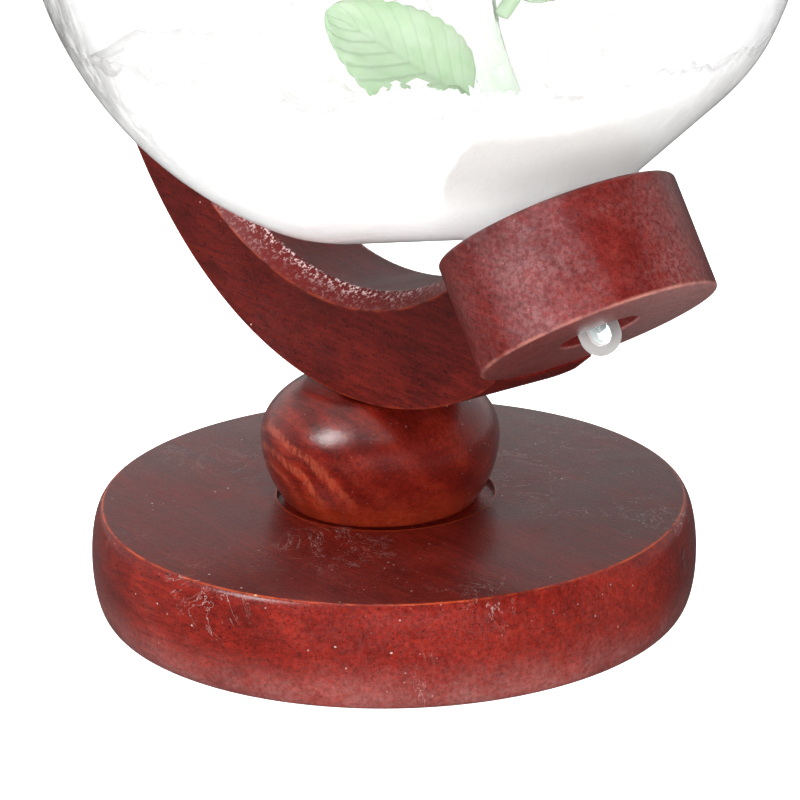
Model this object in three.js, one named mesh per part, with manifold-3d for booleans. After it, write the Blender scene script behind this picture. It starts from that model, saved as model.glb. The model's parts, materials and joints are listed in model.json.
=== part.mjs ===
// Storm glass on a wooden stand: a sealed glass globe, part filled with crystals and with a glass
// rose inside, sits by its neck in a wooden cup at the end of a crescent arm. The arm stands on a
// turned bun and a round base. Millimetres, +Z up. The origin is the centre of the base's
// underside, the arm lies in the XZ plane, and the cup is on the +X side.
import * as THREE from "three";
import { mergeVertices } from "three/addons/utils/BufferGeometryUtils.js";
import Module from "manifold-3d";

const wasm = await Module();
wasm.setup();

// ---------- driving dimensions ----------
const GAP = 0.3; // between pieces that touch
const QUARTER = Math.PI / 2;

const BASE_HEIGHT = 14.2;
const BASE_RIM_RADIUS = 38.6; // at the crisp top and bottom edges
const BASE_WIDEST_RADIUS = 40.5; // half way up the rounded side

const BUN_X = -2.65; // the bun and the screws stand a little off the base's centre
const BUN_RADIUS = 16;
const BUN_WIDEST_Z = 22.5;
const BUN_LOWER_HALF_HEIGHT = 14.9; // half axes of the two ellipses that shape the bun
const BUN_UPPER_HALF_HEIGHT = 9.2;
const RECESS_RADIUS = 14.5; // shallow seat turned in the base for the bun
const RECESS_DEPTH = 0.8;
const RECESS_SHIFT = 1; // the bun isn't quite central in its seat

const ARM_THICKNESS = 15.5;
const ARM_OUTER_CENTRE = new THREE.Vector2(-0.4, 88.5);
const ARM_OUTER_RADIUS = 58.5;
const ARM_INNER_CENTRE = new THREE.Vector2(-3.8, 90.45);
const ARM_INNER_RADIUS = 46.2;
const ARM_SLOPE_WIDTH = 2.75; // both inner edges are sloped off, this far in from the face
const ARM_SLOPE_DEPTH = 2.1; // and this far back from the inner surface
const ARM_CUP_ANGLE = THREE.MathUtils.degToRad(30.2); // where the outer edge ends under the cup
const ARM_TAIL_ANGLE = THREE.MathUtils.degToRad(-97); // measured from straight down
const TAPER_ANGLE = THREE.MathUtils.degToRad(-50); // the inner edge leaves its circle here
const TAPER_LENGTH = 17; // along the tangent, to the curve's control point
const TAIL_WIDTH = 2.2; // blunt end of the tail
const ARM_CHAMFER = 0.4;

const GLOBE_CENTRE = new THREE.Vector3(7.15, 0, 101.3);
const GLOBE_TILT = THREE.MathUtils.degToRad(34); // neck axis from the vertical
const GLOBE_RADIUS = 49.9;
const SHOULDER_ANGLE = THREE.MathUtils.degToRad(43); // the ball ends here, from the neck axis
const SHOULDER_RADIUS = 21;
const CONE_SLOPE = THREE.MathUtils.degToRad(21.5); // blunt cone between the shoulder and the neck
const NECK_RADIUS = 4.6;
const NECK_FILLET = 14; // concave flare from the cone into the neck
const NECK_END = 58.25; // distance from the globe's centre along the neck axis
const WALL = 1.7;

const TIP_RADIUS = 2.6;
const TIP_END = 67.25;

const CUP_RADIUS = 15.6;
const CUP_TOP = 49.25; // distances from the globe's centre along the neck axis
const CUP_BOTTOM = 64.35;
const CUP_HOLE_RADIUS = 5.1;
const CUP_CHAMFER = 0.5;
const SEAT_RADIUS = 11.2; // mouth of the flared seat
const SEAT_CLEARANCE = 0.4;
const SEAT_MARGIN = 0.2; // the flare stops this far short of the hole and of the cup's top
const SEAT_STEPS = 12;
const HOLE_DROP = 1; // from the end of the flare down to the straight hole

const DOWEL_RADIUS = 2.5;
const DOWEL_DEPTH = 57.75; // distance from the globe's centre along the neck axis
const DOWEL_FROM = -25; // ends measured across the neck axis
const DOWEL_TO = -8.5;

const SCREW_RADIUS = 1.75;
const SCREW_HEAD_RADIUS = 3.4;
const SCREW_HEAD_HEIGHT = 2.4;
const SCREW_START_Z = 1;
const SCREW_TOP_Z = 38;
const SCREW_OFFSET = 4.2; // each side of the arm's plane
const RECESS_CROSS = [4, 0.9, 1.4]; // arm length, width and depth of the cross recess

const CRYSTAL_LEVEL = 79.8; // mean height of the crystals above the table
const LIQUID_LEVEL = 137; // air fills the globe above this height
const PILED_AT_GLASS = 2; // the heap is higher at the glass by this much
const HEAP_SIDE = 108;
const HEAP_DEPTH = 60;
const HEAP_CELLS = 13;

// ---------- helpers ----------
const solidOf = (geometry) => {
  const bare = geometry.clone();
  bare.deleteAttribute("normal");
  bare.deleteAttribute("uv");
  const merged = mergeVertices(bare, 1e-4);
  return new wasm.Manifold(
    new wasm.Mesh({
      numProp: 3,
      vertProperties: merged.attributes.position.array,
      triVerts: new Uint32Array(merged.index.array),
    }),
  );
};

const geometryOf = (solid) => {
  const mesh = solid.getMesh();
  const geometry = new THREE.BufferGeometry();
  geometry.setAttribute("position", new THREE.BufferAttribute(mesh.vertProperties, 3));
  geometry.setIndex(new THREE.BufferAttribute(mesh.triVerts, 1));
  geometry.computeVertexNormals();
  return geometry;
};

const subtractAll = (solid, cutters) => cutters.reduce((left, cutter) => left.subtract(cutter), solid);

// A body of revolution about Z from [radius, height] pairs listed from the bottom up.
const turned = (pairs, segments) => {
  const points = pairs.map(([radius, height]) => new THREE.Vector2(radius, height));
  return new THREE.LatheGeometry(points, segments).rotateX(QUARTER);
};

const steps = (count) => Array.from({ length: count + 1 }, (_, i) => i / count);

const onCircle = (centre, radius, angle) =>
  new THREE.Vector2(centre.x + radius * Math.sin(angle), centre.y - radius * Math.cos(angle));

const mesh = (name, geometry, color, roughness, metalness = 0, opacity = 1) => {
  const material = new THREE.MeshStandardMaterial({ color, roughness, metalness });
  material.opacity = opacity;
  material.transparent = opacity < 1;
  const made = new THREE.Mesh(geometry, material);
  made.name = name;
  return made;
};

// ---------- screws, shared by the base, the bun and the arm ----------
const screwAt = (side, grow) => {
  const neckZ = SCREW_START_Z + SCREW_HEAD_HEIGHT;
  const foot = grow > 0 ? -1 : SCREW_START_Z; // the hole runs out through the underside
  const shape = turned(
    [
      [0, foot],
      [SCREW_HEAD_RADIUS + grow, foot],
      [SCREW_HEAD_RADIUS + grow, SCREW_START_Z + 0.4 + grow],
      [SCREW_RADIUS + grow, neckZ + grow],
      [SCREW_RADIUS + grow, SCREW_TOP_Z - 5],
      [0.3 + grow, SCREW_TOP_Z + grow],
      [0, SCREW_TOP_Z + grow],
    ],
    20,
  );
  return shape.translate(BUN_X, side * SCREW_OFFSET, 0);
};
const SIDES = [-1, 1];
const screwHoles = SIDES.map((side) => solidOf(screwAt(side, GAP)));

const screwWithRecess = (side) => {
  const [length, width, depth] = RECESS_CROSS;
  const z = SCREW_START_Z + depth / 2 - 0.01;
  const bars = [
    new THREE.BoxGeometry(length, width, depth + 0.02),
    new THREE.BoxGeometry(width, length, depth + 0.02),
  ];
  const cutters = bars.map((bar) => solidOf(bar.translate(BUN_X, side * SCREW_OFFSET, z)));
  return geometryOf(subtractAll(solidOf(screwAt(side, 0)), cutters));
};

// ---------- base ----------
const baseSide = steps(6).map((t) => {
  const height = t * BASE_HEIGHT;
  const fromMiddle = 2 * t - 1;
  const bulge = (BASE_WIDEST_RADIUS - BASE_RIM_RADIUS) * Math.sqrt(1 - fromMiddle ** 2 * 0.999);
  return [BASE_RIM_RADIUS + bulge, height];
});
const baseBlank = solidOf(turned([[0, 0], ...baseSide, [0, BASE_HEIGHT]], 72));
const bunSeat = turned(
  [
    [0, BASE_HEIGHT - RECESS_DEPTH],
    [RECESS_RADIUS, BASE_HEIGHT - RECESS_DEPTH],
    [RECESS_RADIUS + 0.3, BASE_HEIGHT + 1],
    [0, BASE_HEIGHT + 1],
  ],
  48,
).translate(BUN_X + RECESS_SHIFT, 0, 0);
const baseDisc = subtractAll(baseBlank, [solidOf(bunSeat), ...screwHoles]);

// ---------- bun ----------
const bunFootZ = BASE_HEIGHT - RECESS_DEPTH + GAP;
const bunTopZ = ARM_OUTER_CENTRE.y - ARM_OUTER_RADIUS - GAP;
const bunSide = steps(8).map((t) => {
  const height = bunFootZ + t * (bunTopZ - bunFootZ);
  const fromWidest = height - BUN_WIDEST_Z;
  const halfHeight = fromWidest < 0 ? BUN_LOWER_HALF_HEIGHT : BUN_UPPER_HALF_HEIGHT;
  return [BUN_RADIUS * Math.sqrt(1 - (fromWidest / halfHeight) ** 2), height];
});
const bunBlank = turned([[0, bunFootZ], ...bunSide, [0, bunTopZ]], 48).translate(BUN_X, 0, 0);
const bun = subtractAll(solidOf(bunBlank), screwHoles);

// ---------- places along the tilted neck axis, as seen in the arm's plane ----------
const acrossNeck = new THREE.Vector2(Math.cos(GLOBE_TILT), Math.sin(GLOBE_TILT));
const alongNeck = new THREE.Vector2(Math.sin(GLOBE_TILT), -Math.cos(GLOBE_TILT));
const nearCup = (across, along) =>
  new THREE.Vector2(GLOBE_CENTRE.x, GLOBE_CENTRE.z)
    .addScaledVector(acrossNeck, across)
    .addScaledVector(alongNeck, along);
// Turns a piece made about the local Z axis, neck downwards, into its place on the stand.
const placed = (geometry) =>
  geometry.rotateY(-GLOBE_TILT).translate(GLOBE_CENTRE.x, GLOBE_CENTRE.y, GLOBE_CENTRE.z);

// ---------- dowel between the arm and the cup ----------
const dowelShape = (grow) =>
  placed(
    new THREE.CylinderGeometry(
      DOWEL_RADIUS + grow,
      DOWEL_RADIUS + grow,
      DOWEL_TO - DOWEL_FROM + 2 * grow,
      24,
    )
      .rotateZ(QUARTER)
      .translate((DOWEL_TO + DOWEL_FROM) / 2, 0, -DOWEL_DEPTH),
  );
const dowelHole = solidOf(dowelShape(GAP));

// ---------- crescent arm ----------
const cupEnd = onCircle(ARM_OUTER_CENTRE, ARM_OUTER_RADIUS, ARM_CUP_ANGLE);
const tailOuter = onCircle(ARM_OUTER_CENTRE, ARM_OUTER_RADIUS, ARM_TAIL_ANGLE);
const tailInner = onCircle(ARM_OUTER_CENTRE, ARM_OUTER_RADIUS - TAIL_WIDTH, ARM_TAIL_ANGLE);
const taperStart = onCircle(ARM_INNER_CENTRE, ARM_INNER_RADIUS, TAPER_ANGLE);
const taperControl = taperStart
  .clone()
  .add(new THREE.Vector2(-Math.cos(TAPER_ANGLE), -Math.sin(TAPER_ANGLE)).multiplyScalar(TAPER_LENGTH));
const innerCupAngle = THREE.MathUtils.degToRad(40); // inside the cup's wall, cut away below
const insideCup = nearCup(-11, CUP_BOTTOM);

const crescent = new THREE.Shape();
crescent.moveTo(cupEnd.x, cupEnd.y);
crescent.absarc(
  ARM_OUTER_CENTRE.x,
  ARM_OUTER_CENTRE.y,
  ARM_OUTER_RADIUS,
  ARM_CUP_ANGLE - QUARTER,
  ARM_TAIL_ANGLE - QUARTER,
  true,
);
crescent.lineTo(tailInner.x, tailInner.y);
crescent.quadraticCurveTo(taperControl.x, taperControl.y, taperStart.x, taperStart.y);
crescent.absarc(
  ARM_INNER_CENTRE.x,
  ARM_INNER_CENTRE.y,
  ARM_INNER_RADIUS,
  TAPER_ANGLE - QUARTER,
  innerCupAngle - QUARTER,
  false,
);
crescent.lineTo(insideCup.x, insideCup.y);
crescent.lineTo(cupEnd.x, cupEnd.y);
const armBlank = new THREE.ExtrudeGeometry(crescent, {
  depth: ARM_THICKNESS - 2 * ARM_CHAMFER,
  curveSegments: 18,
  bevelThickness: ARM_CHAMFER,
  bevelSize: ARM_CHAMFER,
  bevelOffset: -ARM_CHAMFER,
  bevelSegments: 1,
})
  .rotateX(QUARTER)
  .translate(0, ARM_THICKNESS / 2 - ARM_CHAMFER, 0);
const cupRoom = placed(
  turned(
    [
      [0, -CUP_BOTTOM - 15],
      [CUP_RADIUS + GAP, -CUP_BOTTOM - 15],
      [CUP_RADIUS + GAP, -CUP_TOP + 10],
      [0, -CUP_TOP + 10],
    ],
    72,
  ),
);
// A shallow cone about the inner circle's axis, wider towards the face, slopes off one inner edge.
const slopeCutter = (side) => {
  const widening = ARM_SLOPE_DEPTH / ARM_SLOPE_WIDTH;
  const before = 0.5;
  const past = ARM_SLOPE_WIDTH + 1;
  return turned(
    [
      [0, -before],
      [ARM_INNER_RADIUS - widening * before, -before],
      [ARM_INNER_RADIUS + widening * past, past],
      [0, past],
    ],
    90,
  )
    .rotateX(-side * QUARTER)
    .translate(ARM_INNER_CENTRE.x, side * (ARM_THICKNESS / 2 - ARM_SLOPE_WIDTH), ARM_INNER_CENTRE.y);
};
const arm = subtractAll(solidOf(armBlank), [
  solidOf(cupRoom),
  dowelHole,
  ...screwHoles,
  ...SIDES.map((side) => solidOf(slopeCutter(side))),
]);

// ---------- globe: outline of the glass from the neck up, inset by a distance ----------
const normalAt = (angle) => new THREE.Vector2(Math.sin(angle), -Math.cos(angle));
const shoulderCentre = normalAt(SHOULDER_ANGLE).multiplyScalar(GLOBE_RADIUS - SHOULDER_RADIUS);
const coneStart = shoulderCentre.clone().addScaledVector(normalAt(CONE_SLOPE), SHOULDER_RADIUS);
const filletCentre = (() => {
  const outside = coneStart.clone().addScaledVector(normalAt(CONE_SLOPE), NECK_FILLET);
  const travel = (outside.x - NECK_RADIUS - NECK_FILLET) / Math.cos(CONE_SLOPE);
  return outside.add(new THREE.Vector2(-Math.cos(CONE_SLOPE), -Math.sin(CONE_SLOPE)).multiplyScalar(travel));
})();
const arcPairs = (centre, radius, fromAngle, toAngle, count) =>
  steps(count).map((t) => {
    const point = centre
      .clone()
      .addScaledVector(normalAt(fromAngle + t * (toAngle - fromAngle)), radius);
    return [Math.max(point.x, 0), point.y];
  });
const globeOutline = (inset, bellySteps) => [
  ...arcPairs(filletCentre, -(NECK_FILLET + inset), QUARTER, CONE_SLOPE, 5),
  ...arcPairs(shoulderCentre, SHOULDER_RADIUS - inset, CONE_SLOPE, SHOULDER_ANGLE, 3),
  ...arcPairs(
    new THREE.Vector2(0, 0),
    GLOBE_RADIUS - inset,
    SHOULDER_ANGLE,
    Math.PI,
    bellySteps,
  ).slice(1),
];
const GLOBE_SEGMENTS = 44;
const OUTSIDE_STEPS = 16;
const INSIDE_STEPS = 11;
const shellProfile = [
  ...globeOutline(WALL, INSIDE_STEPS).reverse(),
  [NECK_RADIUS - WALL, -NECK_END],
  [NECK_RADIUS, -NECK_END],
  ...globeOutline(0, OUTSIDE_STEPS),
];
const globeGlass = turned(shellProfile, GLOBE_SEGMENTS);

// ---------- sealed filling tip below the neck ----------
const tipRound = steps(6).map((t) => {
  const angle = t * QUARTER;
  return [TIP_RADIUS * Math.sin(angle), -TIP_END + TIP_RADIUS * (1 - Math.cos(angle))];
});
const fillingTip = turned(
  [
    ...tipRound,
    [TIP_RADIUS, -NECK_END - 4.6],
    [NECK_RADIUS - 0.3, -NECK_END - 2.4],
    [NECK_RADIUS, -NECK_END - GAP],
    [NECK_RADIUS - WALL, -NECK_END - GAP],
    [NECK_RADIUS - WALL, -NECK_END - 2],
    [1.1, -NECK_END - 4.8],
    [1.1, -TIP_END + 2],
    [0, -TIP_END + 1.6],
  ],
  20,
);

// ---------- cup: its seat follows the neck's flare with a little clearance ----------
const seatCurve = NECK_FILLET - SEAT_CLEARANCE;
const seatFlare = arcPairs(filletCentre, -seatCurve, QUARTER, CONE_SLOPE, SEAT_STEPS)
  .filter(([radius, height]) => radius > CUP_HOLE_RADIUS + SEAT_MARGIN && height < -CUP_TOP - SEAT_MARGIN)
  .reverse();
const holeTop = seatFlare[seatFlare.length - 1][1] - HOLE_DROP;
const cupProfile = [
  [CUP_HOLE_RADIUS, -CUP_BOTTOM],
  [CUP_RADIUS - CUP_CHAMFER, -CUP_BOTTOM],
  [CUP_RADIUS, -CUP_BOTTOM + CUP_CHAMFER],
  [CUP_RADIUS, -CUP_TOP - CUP_CHAMFER],
  [CUP_RADIUS - CUP_CHAMFER, -CUP_TOP],
  [SEAT_RADIUS, -CUP_TOP],
  ...seatFlare,
  [CUP_HOLE_RADIUS, holeTop],
  [CUP_HOLE_RADIUS, -CUP_BOTTOM],
];
const cup = solidOf(placed(turned(cupProfile, 48))).subtract(dowelHole);

// ---------- crystals: a level, lumpy heap that is a little higher at the glass ----------
const heapHeight = (x, y) => {
  const lumps = 1.3 * Math.sin(0.31 * x + 0.7) * Math.cos(0.27 * y - 0.4);
  const small = 0.7 * Math.sin(0.83 * x - 0.6 * y) + 0.5 * Math.cos(0.71 * y + 0.5 * x + 1.1);
  const piledAtGlass = PILED_AT_GLASS * ((x * x + y * y) / GLOBE_RADIUS ** 2);
  return lumps + small + piledAtGlass;
};
const heapBlock = (raise) => {
  const block = new THREE.BoxGeometry(HEAP_SIDE, HEAP_SIDE, HEAP_DEPTH, HEAP_CELLS, HEAP_CELLS, 1);
  const positions = block.attributes.position;
  for (let i = 0; i < positions.count; i += 1) {
    if (positions.getZ(i) > 0) {
      const x = positions.getX(i);
      const y = positions.getY(i);
      positions.setZ(i, HEAP_DEPTH / 2 + heapHeight(x, y) + raise);
    }
  }
  // level in the room, so turned back against the globe's tilt
  return block.translate(0, 0, CRYSTAL_LEVEL - GLOBE_CENTRE.z - HEAP_DEPTH / 2).rotateY(GLOBE_TILT);
};
const contentsRoom = () => {
  const outline = globeOutline(WALL + GAP, INSIDE_STEPS);
  const floor = outline[2];
  return solidOf(turned([[0, floor[1]], ...outline.slice(2)], GLOBE_SEGMENTS));
};

// ---------- flower: stem, leaves, calyx and petals, about its own leaning axis ----------
const FLOWER_LEAN = THREE.MathUtils.degToRad(1);
const LEAN_AZIMUTH = THREE.MathUtils.degToRad(238);
const STEM_FOOT = -47.4;
const STEM_TOP = -11.6;
const leaned = (geometry) =>
  geometry
    .translate(0, 0, -STEM_FOOT)
    .rotateZ(-LEAN_AZIMUTH)
    .rotateY(FLOWER_LEAN)
    .rotateZ(LEAN_AZIMUTH)
    .translate(0, 0, STEM_FOOT);

const stemShape = (grow) =>
  leaned(
    turned(
      [
        [0, STEM_FOOT - grow],
        [6.2 + grow, STEM_FOOT - grow],
        [6.2 + grow, STEM_FOOT + 0.8 + grow],
        [1.9 + grow, STEM_FOOT + 3.4 + grow],
        [1.8 + grow, -26],
        [2.1 + grow, -19],
        [3.3 + grow, -14],
        [3.3 + grow, STEM_TOP + grow],
        [0, STEM_TOP + grow],
      ],
      24,
    ),
  );

// A blade is a flattened ball. Its rim follows a pointed, scalloped outline, and it has ribs.
const bladeShape = (leaf, grow) => {
  const fine = grow === 0;
  const ball = new THREE.SphereGeometry(1, fine ? 30 : 14, fine ? 6 : 4).rotateX(QUARTER);
  const positions = ball.attributes.position;
  for (let i = 0; i < positions.count; i += 1) {
    const x = positions.getX(i);
    const y = positions.getY(i);
    const z = positions.getZ(i);
    const reach = Math.hypot(x, y);
    const angle = Math.atan2(y, x);
    const scallop = 1 + (fine ? 0.035 * reach ** 4 * Math.cos(leaf.scallops * angle) : 0.03);
    const along = x * scallop;
    const halfWidth = leaf.width / 2 + grow;
    const taper = 1 - 0.28 * along;
    const rib = fine ? 0.12 * Math.cos(leaf.ribs * y) * (1 - reach ** 2) : 0;
    const u = (leaf.length / 2) * (1 + along) + grow * along;
    positions.setX(i, u);
    positions.setY(i, halfWidth * taper * y * scallop);
    positions.setZ(i, z * (leaf.thickness / 2 + grow + rib) - leaf.droop * (u / leaf.length) ** 2);
  }
  return ball;
};
// The stalk starts just clear of the stem and runs a little way into the blade.
const STALK_RADIUS = 0.8;
const STALK_INTO_BLADE = 1.5;
const stalkStart = (leaf) => (leaf.stemRadius + GAP + STALK_RADIUS) / Math.cos(leaf.rise);
const stalkShape = (leaf, grow) => {
  const inward = 4 * grow; // the room round a stalk opens into the room round the stem
  const length = leaf.stalk + STALK_INTO_BLADE + grow + inward;
  return new THREE.CylinderGeometry(STALK_RADIUS + grow, STALK_RADIUS + grow, length, 10)
    .rotateZ(QUARTER)
    .translate(STALK_INTO_BLADE + grow - length / 2, 0, 0);
};
const leafSolid = (leaf, grow) => {
  const place = (geometry) =>
    leaned(
      geometry
        .rotateX(leaf.roll)
        .translate(stalkStart(leaf) + leaf.stalk, 0, 0)
        .rotateY(-leaf.rise)
        .rotateZ(leaf.azimuth)
        .translate(0, 0, leaf.height),
    );
  return solidOf(place(bladeShape(leaf, grow))).add(solidOf(place(stalkShape(leaf, grow))));
};
const degrees = THREE.MathUtils.degToRad;
const LEAVES = [
  {
    name: "leaf_front",
    length: 16.2,
    width: 10.2,
    azimuth: degrees(262),
    rise: degrees(50),
    roll: degrees(-116),
    height: -29.8,
    stemRadius: 1.9,
    stalk: 1.6,
    droop: 1,
  },
  {
    name: "leaf_upper",
    length: 13,
    width: 8.6,
    azimuth: degrees(48),
    rise: degrees(36),
    roll: degrees(-60),
    height: -19.5,
    stemRadius: 2.7,
    stalk: 1,
    droop: 1.4,
  },
  {
    name: "leaf_lower",
    length: 12,
    width: 8.6,
    azimuth: degrees(158),
    rise: degrees(30),
    roll: degrees(20),
    height: -27.5,
    stemRadius: 1.9,
    stalk: 1,
    droop: 1,
  },
].map((leaf) => ({ thickness: 1.3, scallops: 12, ribs: 9, ...leaf }));

const calyxShape = leaned(
  turned(
    [
      [0, STEM_TOP + GAP],
      [3.4, STEM_TOP + GAP],
      [5.6, -7.6],
      [6.6, -5.2],
      [5.9, -5.1],
      [4.4, -7.4],
      [2.6, -8.9],
      [0, -9.2],
    ],
    30,
  ),
);
const budShape = leaned(
  turned(
    [
      [0, -8.8],
      [2, -8.5],
      [3, -6.5],
      [3.3, -2],
      [3.1, 3],
      [2.2, 6.4],
      [0.9, 8],
      [0, 8.2],
    ],
    24,
  ),
);

// Petals wrap round the bud. Each one starts inside its neighbour and ends outside it.
const petalShape = (ring, index) => {
  const ball = new THREE.SphereGeometry(1, 16, 6).rotateX(QUARTER);
  const positions = ball.attributes.position;
  const middle = ring.turn + (index * 2 * Math.PI) / ring.count;
  for (let i = 0; i < positions.count; i += 1) {
    const across = positions.getX(i);
    const up = (positions.getY(i) + 1) / 2;
    const flare = ring.footRadius + (ring.lipRadius - ring.footRadius) * up ** ring.curve;
    const curl = ring.spiral * across;
    const ripple = 0.35 * up ** 3 * Math.cos(4 * across);
    const radius = flare + curl + ripple + (positions.getZ(i) * ring.thickness) / 2;
    const azimuth = middle + across * ring.halfAngle * (0.62 + 0.38 * up);
    positions.setXYZ(
      i,
      radius * Math.cos(azimuth),
      radius * Math.sin(azimuth),
      ring.footZ + up * ring.height,
    );
  }
  return leaned(ball);
};
const PETAL_RINGS = [
  {
    label: "petal_inner",
    count: 3,
    turn: 0.4,
    halfAngle: degrees(74),
    footRadius: 4.6,
    lipRadius: 6.2,
    curve: 1.2,
    spiral: 0.75,
    thickness: 0.8,
    footZ: -6.6,
    height: 14.4,
  },
  {
    label: "petal_outer",
    count: 5,
    turn: 0.1,
    halfAngle: degrees(46),
    footRadius: 7.6,
    lipRadius: 12.6,
    curve: 2.2,
    spiral: 0.8,
    thickness: 0.8,
    footZ: -4.9,
    height: 12.6,
  },
];

// The liquid leaves the whole head of the flower free, since it can't reach every fold.
const headRoom = solidOf(
  leaned(
    turned(
      [
        [0, STEM_TOP - 1],
        [4.2, STEM_TOP - 0.6],
        [7.4, -6],
        [11.5, -3.4],
        [15, 3.6],
        [15.2, 8.4],
        [9, 9.6],
        [0, 9.8],
      ],
      40,
    ),
  ),
);
const flowerRoom = [
  solidOf(stemShape(GAP)),
  headRoom,
  ...LEAVES.map((leaf) => leafSolid(leaf, GAP)),
];
const crystalBed = subtractAll(contentsRoom().intersect(solidOf(heapBlock(0))), flowerRoom);
const underLevel = new THREE.BoxGeometry(HEAP_SIDE, HEAP_SIDE, HEAP_SIDE)
  .translate(0, 0, LIQUID_LEVEL - GLOBE_CENTRE.z - HEAP_SIDE / 2)
  .rotateY(GLOBE_TILT);
const liquid = subtractAll(contentsRoom().intersect(solidOf(underLevel)), [
  solidOf(heapBlock(GAP)),
  ...flowerRoom,
]);

// ---------- the scene graph ----------
const WOOD = 0x6e1712;
const LEAF_GREEN = 0x8fcf95;
const ROSE_RED = 0xb8172b;

const stand = new THREE.Group();
stand.add(
  mesh("base_disc", geometryOf(baseDisc), WOOD, 0.32),
  ...SIDES.map((side, i) =>
    mesh(`base_screw_${i + 1}`, screwWithRecess(side), 0xa9a9a6, 0.35, 1),
  ),
  mesh("bun_spacer", geometryOf(bun), 0x7d1f14, 0.3),
  mesh("crescent_arm", geometryOf(arm), WOOD, 0.38),
  mesh("cup_dowel", dowelShape(0), 0xc49a6c, 0.7),
  mesh("globe_cup", geometryOf(cup), WOOD, 0.36),
);

const globe = new THREE.Group();
globe.position.copy(GLOBE_CENTRE);
globe.rotation.y = -GLOBE_TILT;
globe.add(
  mesh("filling_tip", fillingTip, 0xf4f7f5, 0.05, 0, 0.5),
  mesh("globe_glass", globeGlass, 0xf4f8f6, 0.03, 0, 0.3),
  mesh("storm_liquid", geometryOf(liquid), 0xf2f6f4, 0.05, 0, 0.25),
  mesh("crystal_bed", geometryOf(crystalBed), 0xf6f6f4, 0.8),
  mesh("flower_stem", stemShape(0), 0xdcecdd, 0.08, 0, 0.8),
  ...LEAVES.map((leaf) => mesh(leaf.name, geometryOf(leafSolid(leaf, 0)), LEAF_GREEN, 0.1, 0, 0.8)),
  mesh("flower_calyx", calyxShape, LEAF_GREEN, 0.1, 0, 0.8),
  mesh("rose_bud", budShape, ROSE_RED, 0.1, 0, 0.85),
);
for (const ring of PETAL_RINGS) {
  for (let i = 0; i < ring.count; i += 1) {
    globe.add(mesh(`${ring.label}_${i + 1}`, petalShape(ring, i), ROSE_RED, 0.1, 0, 0.85));
  }
}

const stormGlass = new THREE.Group();
stormGlass.add(stand, globe);
export default stormGlass;
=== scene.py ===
# Looks for the storm glass on its crescent stand. Everything is in metres, in the CAD frame.
import json
import math
import random

import bmesh
import bpy
import numpy as np
from mathutils import Matrix, Vector, noise


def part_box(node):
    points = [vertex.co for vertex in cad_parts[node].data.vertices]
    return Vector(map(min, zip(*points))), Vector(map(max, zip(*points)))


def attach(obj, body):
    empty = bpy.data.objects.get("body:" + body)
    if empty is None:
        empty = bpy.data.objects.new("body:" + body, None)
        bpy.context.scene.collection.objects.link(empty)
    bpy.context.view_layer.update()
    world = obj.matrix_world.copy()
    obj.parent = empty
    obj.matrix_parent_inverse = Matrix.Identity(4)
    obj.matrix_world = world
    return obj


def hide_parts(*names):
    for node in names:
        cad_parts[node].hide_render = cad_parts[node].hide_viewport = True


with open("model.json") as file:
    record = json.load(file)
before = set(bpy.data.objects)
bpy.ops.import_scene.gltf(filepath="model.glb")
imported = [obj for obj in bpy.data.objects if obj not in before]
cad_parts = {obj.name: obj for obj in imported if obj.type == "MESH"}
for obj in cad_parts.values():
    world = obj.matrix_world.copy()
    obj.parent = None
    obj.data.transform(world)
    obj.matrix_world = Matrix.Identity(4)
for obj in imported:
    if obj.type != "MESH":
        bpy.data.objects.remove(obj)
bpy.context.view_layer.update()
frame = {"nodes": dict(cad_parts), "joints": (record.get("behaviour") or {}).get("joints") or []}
MM = 0.001
NODES = frame["nodes"]
JOINTS = {joint["name"]: joint for joint in frame["joints"]}

# ---------- sizes of the real object, in millimetres unless the CAD frame gives them ----------
BASE_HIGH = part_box("base_disc")[1]
BUN_LOW, BUN_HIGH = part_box("bun_spacer")
ARM_LOW, ARM_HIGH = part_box("crescent_arm")
BASE_HEIGHT = BASE_HIGH.z / MM
BASE_WIDEST = BASE_HIGH.x / MM
BASE_RIM = BASE_WIDEST - 1.9
BUN_X = (BUN_LOW.x + BUN_HIGH.x) / 2 / MM
BUN_RADIUS = (BUN_HIGH.y - BUN_LOW.y) / 2 / MM
BUN_FOOT = BUN_LOW.z / MM
BUN_TOP = BUN_HIGH.z / MM
BUN_WIDEST_Z = 22.5
BUN_LOWER_HALF_HEIGHT = 14.9
BUN_UPPER_HALF_HEIGHT = 9.2
BUN_EYE = (BUN_X - 2.2, -14.0, 17.6)  # centre of the pale arched grain
RECESS_X = BUN_X + 1
RECESS_RADIUS = 14.5
ARM_HALF = (ARM_HIGH.y - ARM_LOW.y) / 2 / MM
ARM_OUTER = (-0.4, 88.5, 58.5)  # centre x, centre z, radius
ARM_INNER = (-3.8, 90.45, 46.2)
SLOPE_DEPTH = 2.1  # the arm's inner edges are sloped off by this much
SLOPE_WIDTH = 2.75
TAPER_ANGLE = math.radians(-50)
TAPER_LENGTH = 17
TAIL_WIDTH = 2.2
TILT = math.radians(34)
GLOBE_CENTRE = Vector(JOINTS["globe_spin"]["pos_m"])
GLOBE_RADIUS = 49.9
WALL = 1.7
LIQUID_GAP = 0.12  # between the inner wall and the liquid's mesh
CRYSTAL_GAP = 0.35
SHOULDER_ANGLE = math.radians(43)
SHOULDER_RADIUS = 21
CONE_SLOPE = math.radians(21.5)
NECK_RADIUS = 4.6
NECK_FILLET = 14
NECK_END = 58.25
TIP_RADIUS = 2.6
TIP_END = 67.25
CUP_RADIUS = 15.6
CUP_TOP = 49.25
CUP_BOTTOM = 64.35
CUP_HOLE = 5.1
SEAT_RADIUS = 11.2
CRYSTAL_LEVEL = 79.8
PILED_AT_GLASS = 2
LIQUID_LEVEL = 137
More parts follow.
